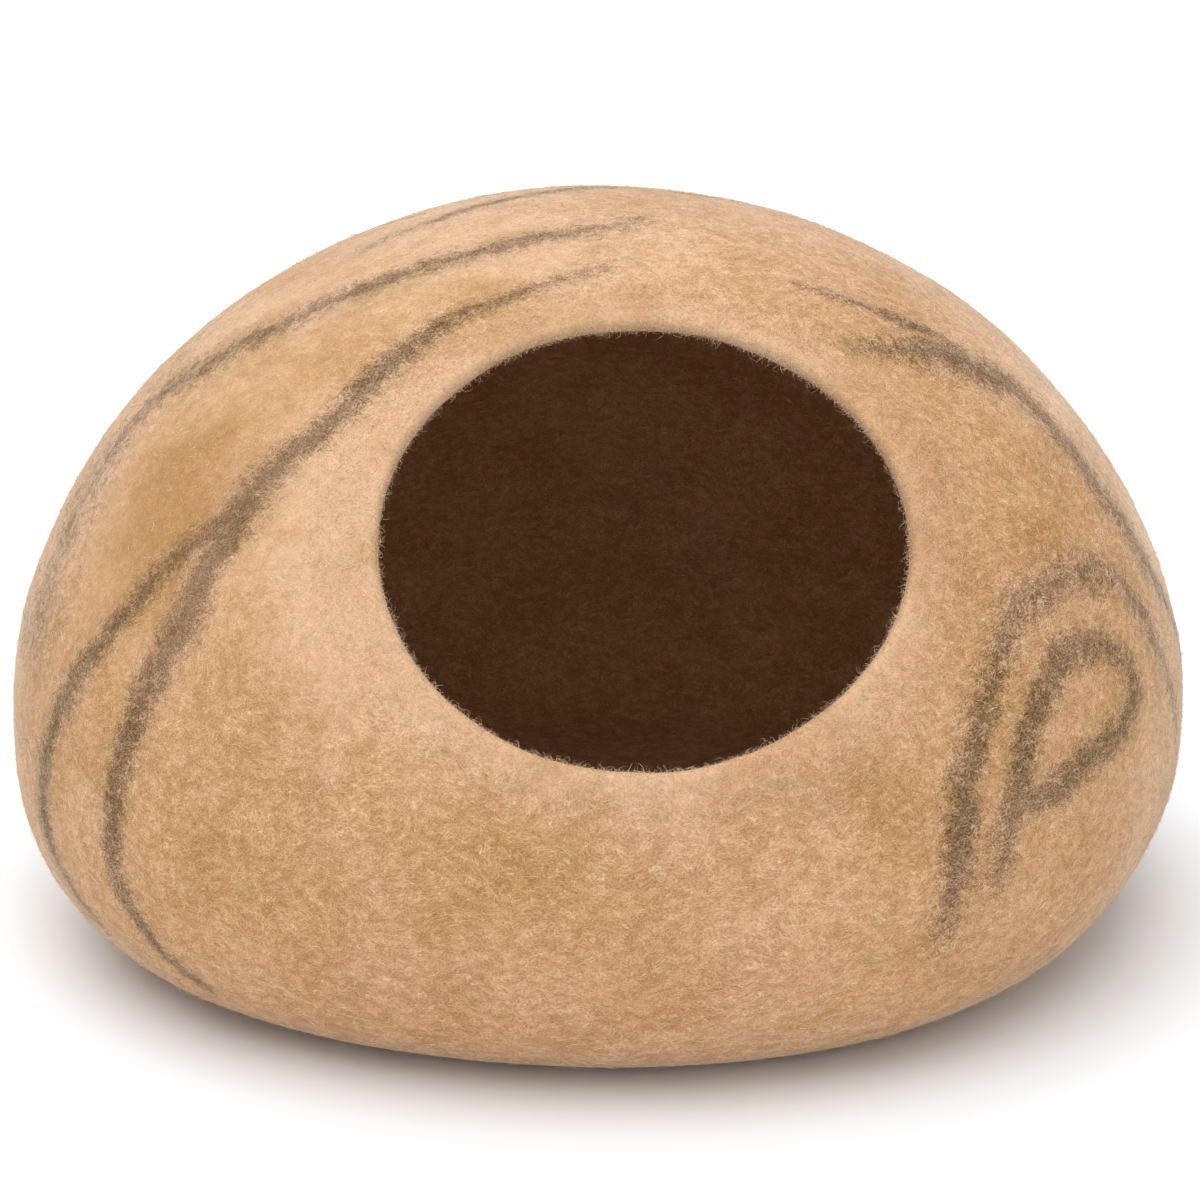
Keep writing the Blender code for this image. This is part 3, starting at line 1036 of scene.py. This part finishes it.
# Shortest, longest and width in m, how many lengths it is cut into, crimp, lift, veer.
NAP = (0.0016, 0.0032, 0.00020, 2, 0.9, 1.3, 3.1)
LONG_HAIR = (0.004, 0.009, 0.00024, 4, 0.8, 0.22, 0.5)
FRINGE_NAP = (0.0014, 0.0036, 0.00017, 2, 1.6, 1.3, 3.1)
FRINGE_CURL = (0.0030, 0.0080, 0.00014, 4, 2.6, 1.1, 3.1)
FUZZ = {
    # the fibre, how many on a square metre, seed, sizes, tilt, spin, where it grows
    "nap_1": (*NAP, 25000, 11, (0.7, 1.3), 0.35, 3.1, "hairiness"),
    "nap_2": (*NAP, 25000, 21, (0.7, 1.3), 0.35, 3.1, "hairiness"),
    "long_hairs_1": (*LONG_HAIR, 13500, 41, (0.7, 1.3), 0.1, 0.6, "hairiness"),
    "long_hairs_2": (*LONG_HAIR, 13500, 51, (0.7, 1.3), 0.1, 1.2, "hairiness"),
    "lip_nap": (*FRINGE_NAP, 540000, 91, (0.6, 1.3), 0.6, 3.1, "lip_hairiness"),
    "lip_curls": (*FRINGE_CURL, 300000, 95, (0.6, 1.2), 0.6, 3.1, "lip_hairiness"),
}
fuzz = []
for name, row in FUZZ.items():
    short, long, width, lengths, crimp, lift, veer, density, seed, sizes, tilt, spin, where = row
    kinds = [curled_fibre(f"fibre_{i:02d}", rng.uniform(short, long), width, lengths, crimp, lift, veer)
             for i in range(KINDS)]
    piece = fibres_over(name, kinds, density, seed, sizes, tilt, spin, where)
    piece.data.materials.clear()
    piece.data.materials.append(loose_wool)
    fuzz.append(piece)
for extra in ("hairiness", "lip_hairiness"):
    felt_mesh.attributes.remove(felt_mesh.attributes[extra])

# %% [markdown]
# ## Stage, light and camera
# The floor is plain and pale, and lies a hair's breadth under the bed.

# %% Lay the floor
FLOOR_REACH = 9.0
FLOOR_DROP = 0.0003
PAPER = {"Base Color": (0.885, 0.925, 0.962, 1), "Roughness": 0.9}
stage_floor = bmesh.new()
bmesh.ops.create_grid(stage_floor, x_segments=2, y_segments=2, size=FLOOR_REACH)
floor_mesh = bpy.data.meshes.new("studio_floor")
stage_floor.to_mesh(floor_mesh)
stage_floor.free()
floor = set_out("studio_floor", floor_mesh)
floor.location.z = -FLOOR_DROP
floor_mesh.materials.append(new_material("studio_paper", PAPER)[0])
print("floor:", 2 * FLOOR_REACH, "m square")

# %% [markdown]
# A white room lights the bed evenly. Three soft banks add form: a strong one above, a weaker one low in
# front and one behind, which lights the edge of the roof.

# %% Set the lights
SKY_STRENGTH = 0.62
STUDIO_LAMPS = {
    # strength, spread in degrees, where it shines from
    "overhead_bank": (1.70, 60, (-0.20, -0.25, 1.0)),
    "front_fill": (0.68, 70, (0.10, -1.0, 0.28)),
    "back_bank": (0.62, 60, (-0.10, 0.90, 0.85)),
}
scene = bpy.context.scene
world = bpy.data.worlds.new("studio")
world.use_nodes = True
surfaced(world.node_tree.nodes["Background"], {"Color": (1.0, 1.0, 1.0, 1), "Strength": SKY_STRENGTH})
scene.world = world
scene.view_settings.view_transform = "Standard"

for name, (strength, spread, shines_from) in STUDIO_LAMPS.items():
    lamp = bpy.data.lights.new(name, "SUN")
    lamp.energy = strength
    lamp.angle = radians(spread)
    stand = set_out(name, lamp)
    stand.rotation_euler = (-Vector(shines_from)).to_track_quat("-Z", "Y").to_euler()
print("banks of light:", list(STUDIO_LAMPS))

# %% [markdown]
# The camera stands a little to the left and looks slightly down, as the camera of the photograph did.

# %% Place the camera
VIEW_TURN = radians(5.57)
VIEW_RISE = radians(17.46)
VIEW_DISTANCE = 1.8
VIEW_PIVOT = 0.13  # the level that the camera rises about
AIM = Vector((0.0, 0.0, 0.1310))
SENSOR_MM, LENS_MM = 36.0, 126.93
camera_data = bpy.data.cameras.new("camera")
camera_data.sensor_width = SENSOR_MM
camera_data.lens = LENS_MM
camera = set_out("camera", camera_data)
camera.location = (
    -VIEW_DISTANCE * cos(VIEW_RISE) * sin(VIEW_TURN),
    -VIEW_DISTANCE * cos(VIEW_RISE) * cos(VIEW_TURN),
    VIEW_PIVOT + VIEW_DISTANCE * sin(VIEW_RISE),
)
camera.rotation_euler = (AIM - camera.location).to_track_quat("-Z", "Y").to_euler()
scene.camera = camera
print("camera at", tuple(round(c, 3) for c in camera.location))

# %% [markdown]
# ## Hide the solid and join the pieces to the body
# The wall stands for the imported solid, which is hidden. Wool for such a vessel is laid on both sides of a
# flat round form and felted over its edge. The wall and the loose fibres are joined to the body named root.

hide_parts("felt_shell")
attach(felt_wall, "root")
for piece in fuzz:
    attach(piece, "root")
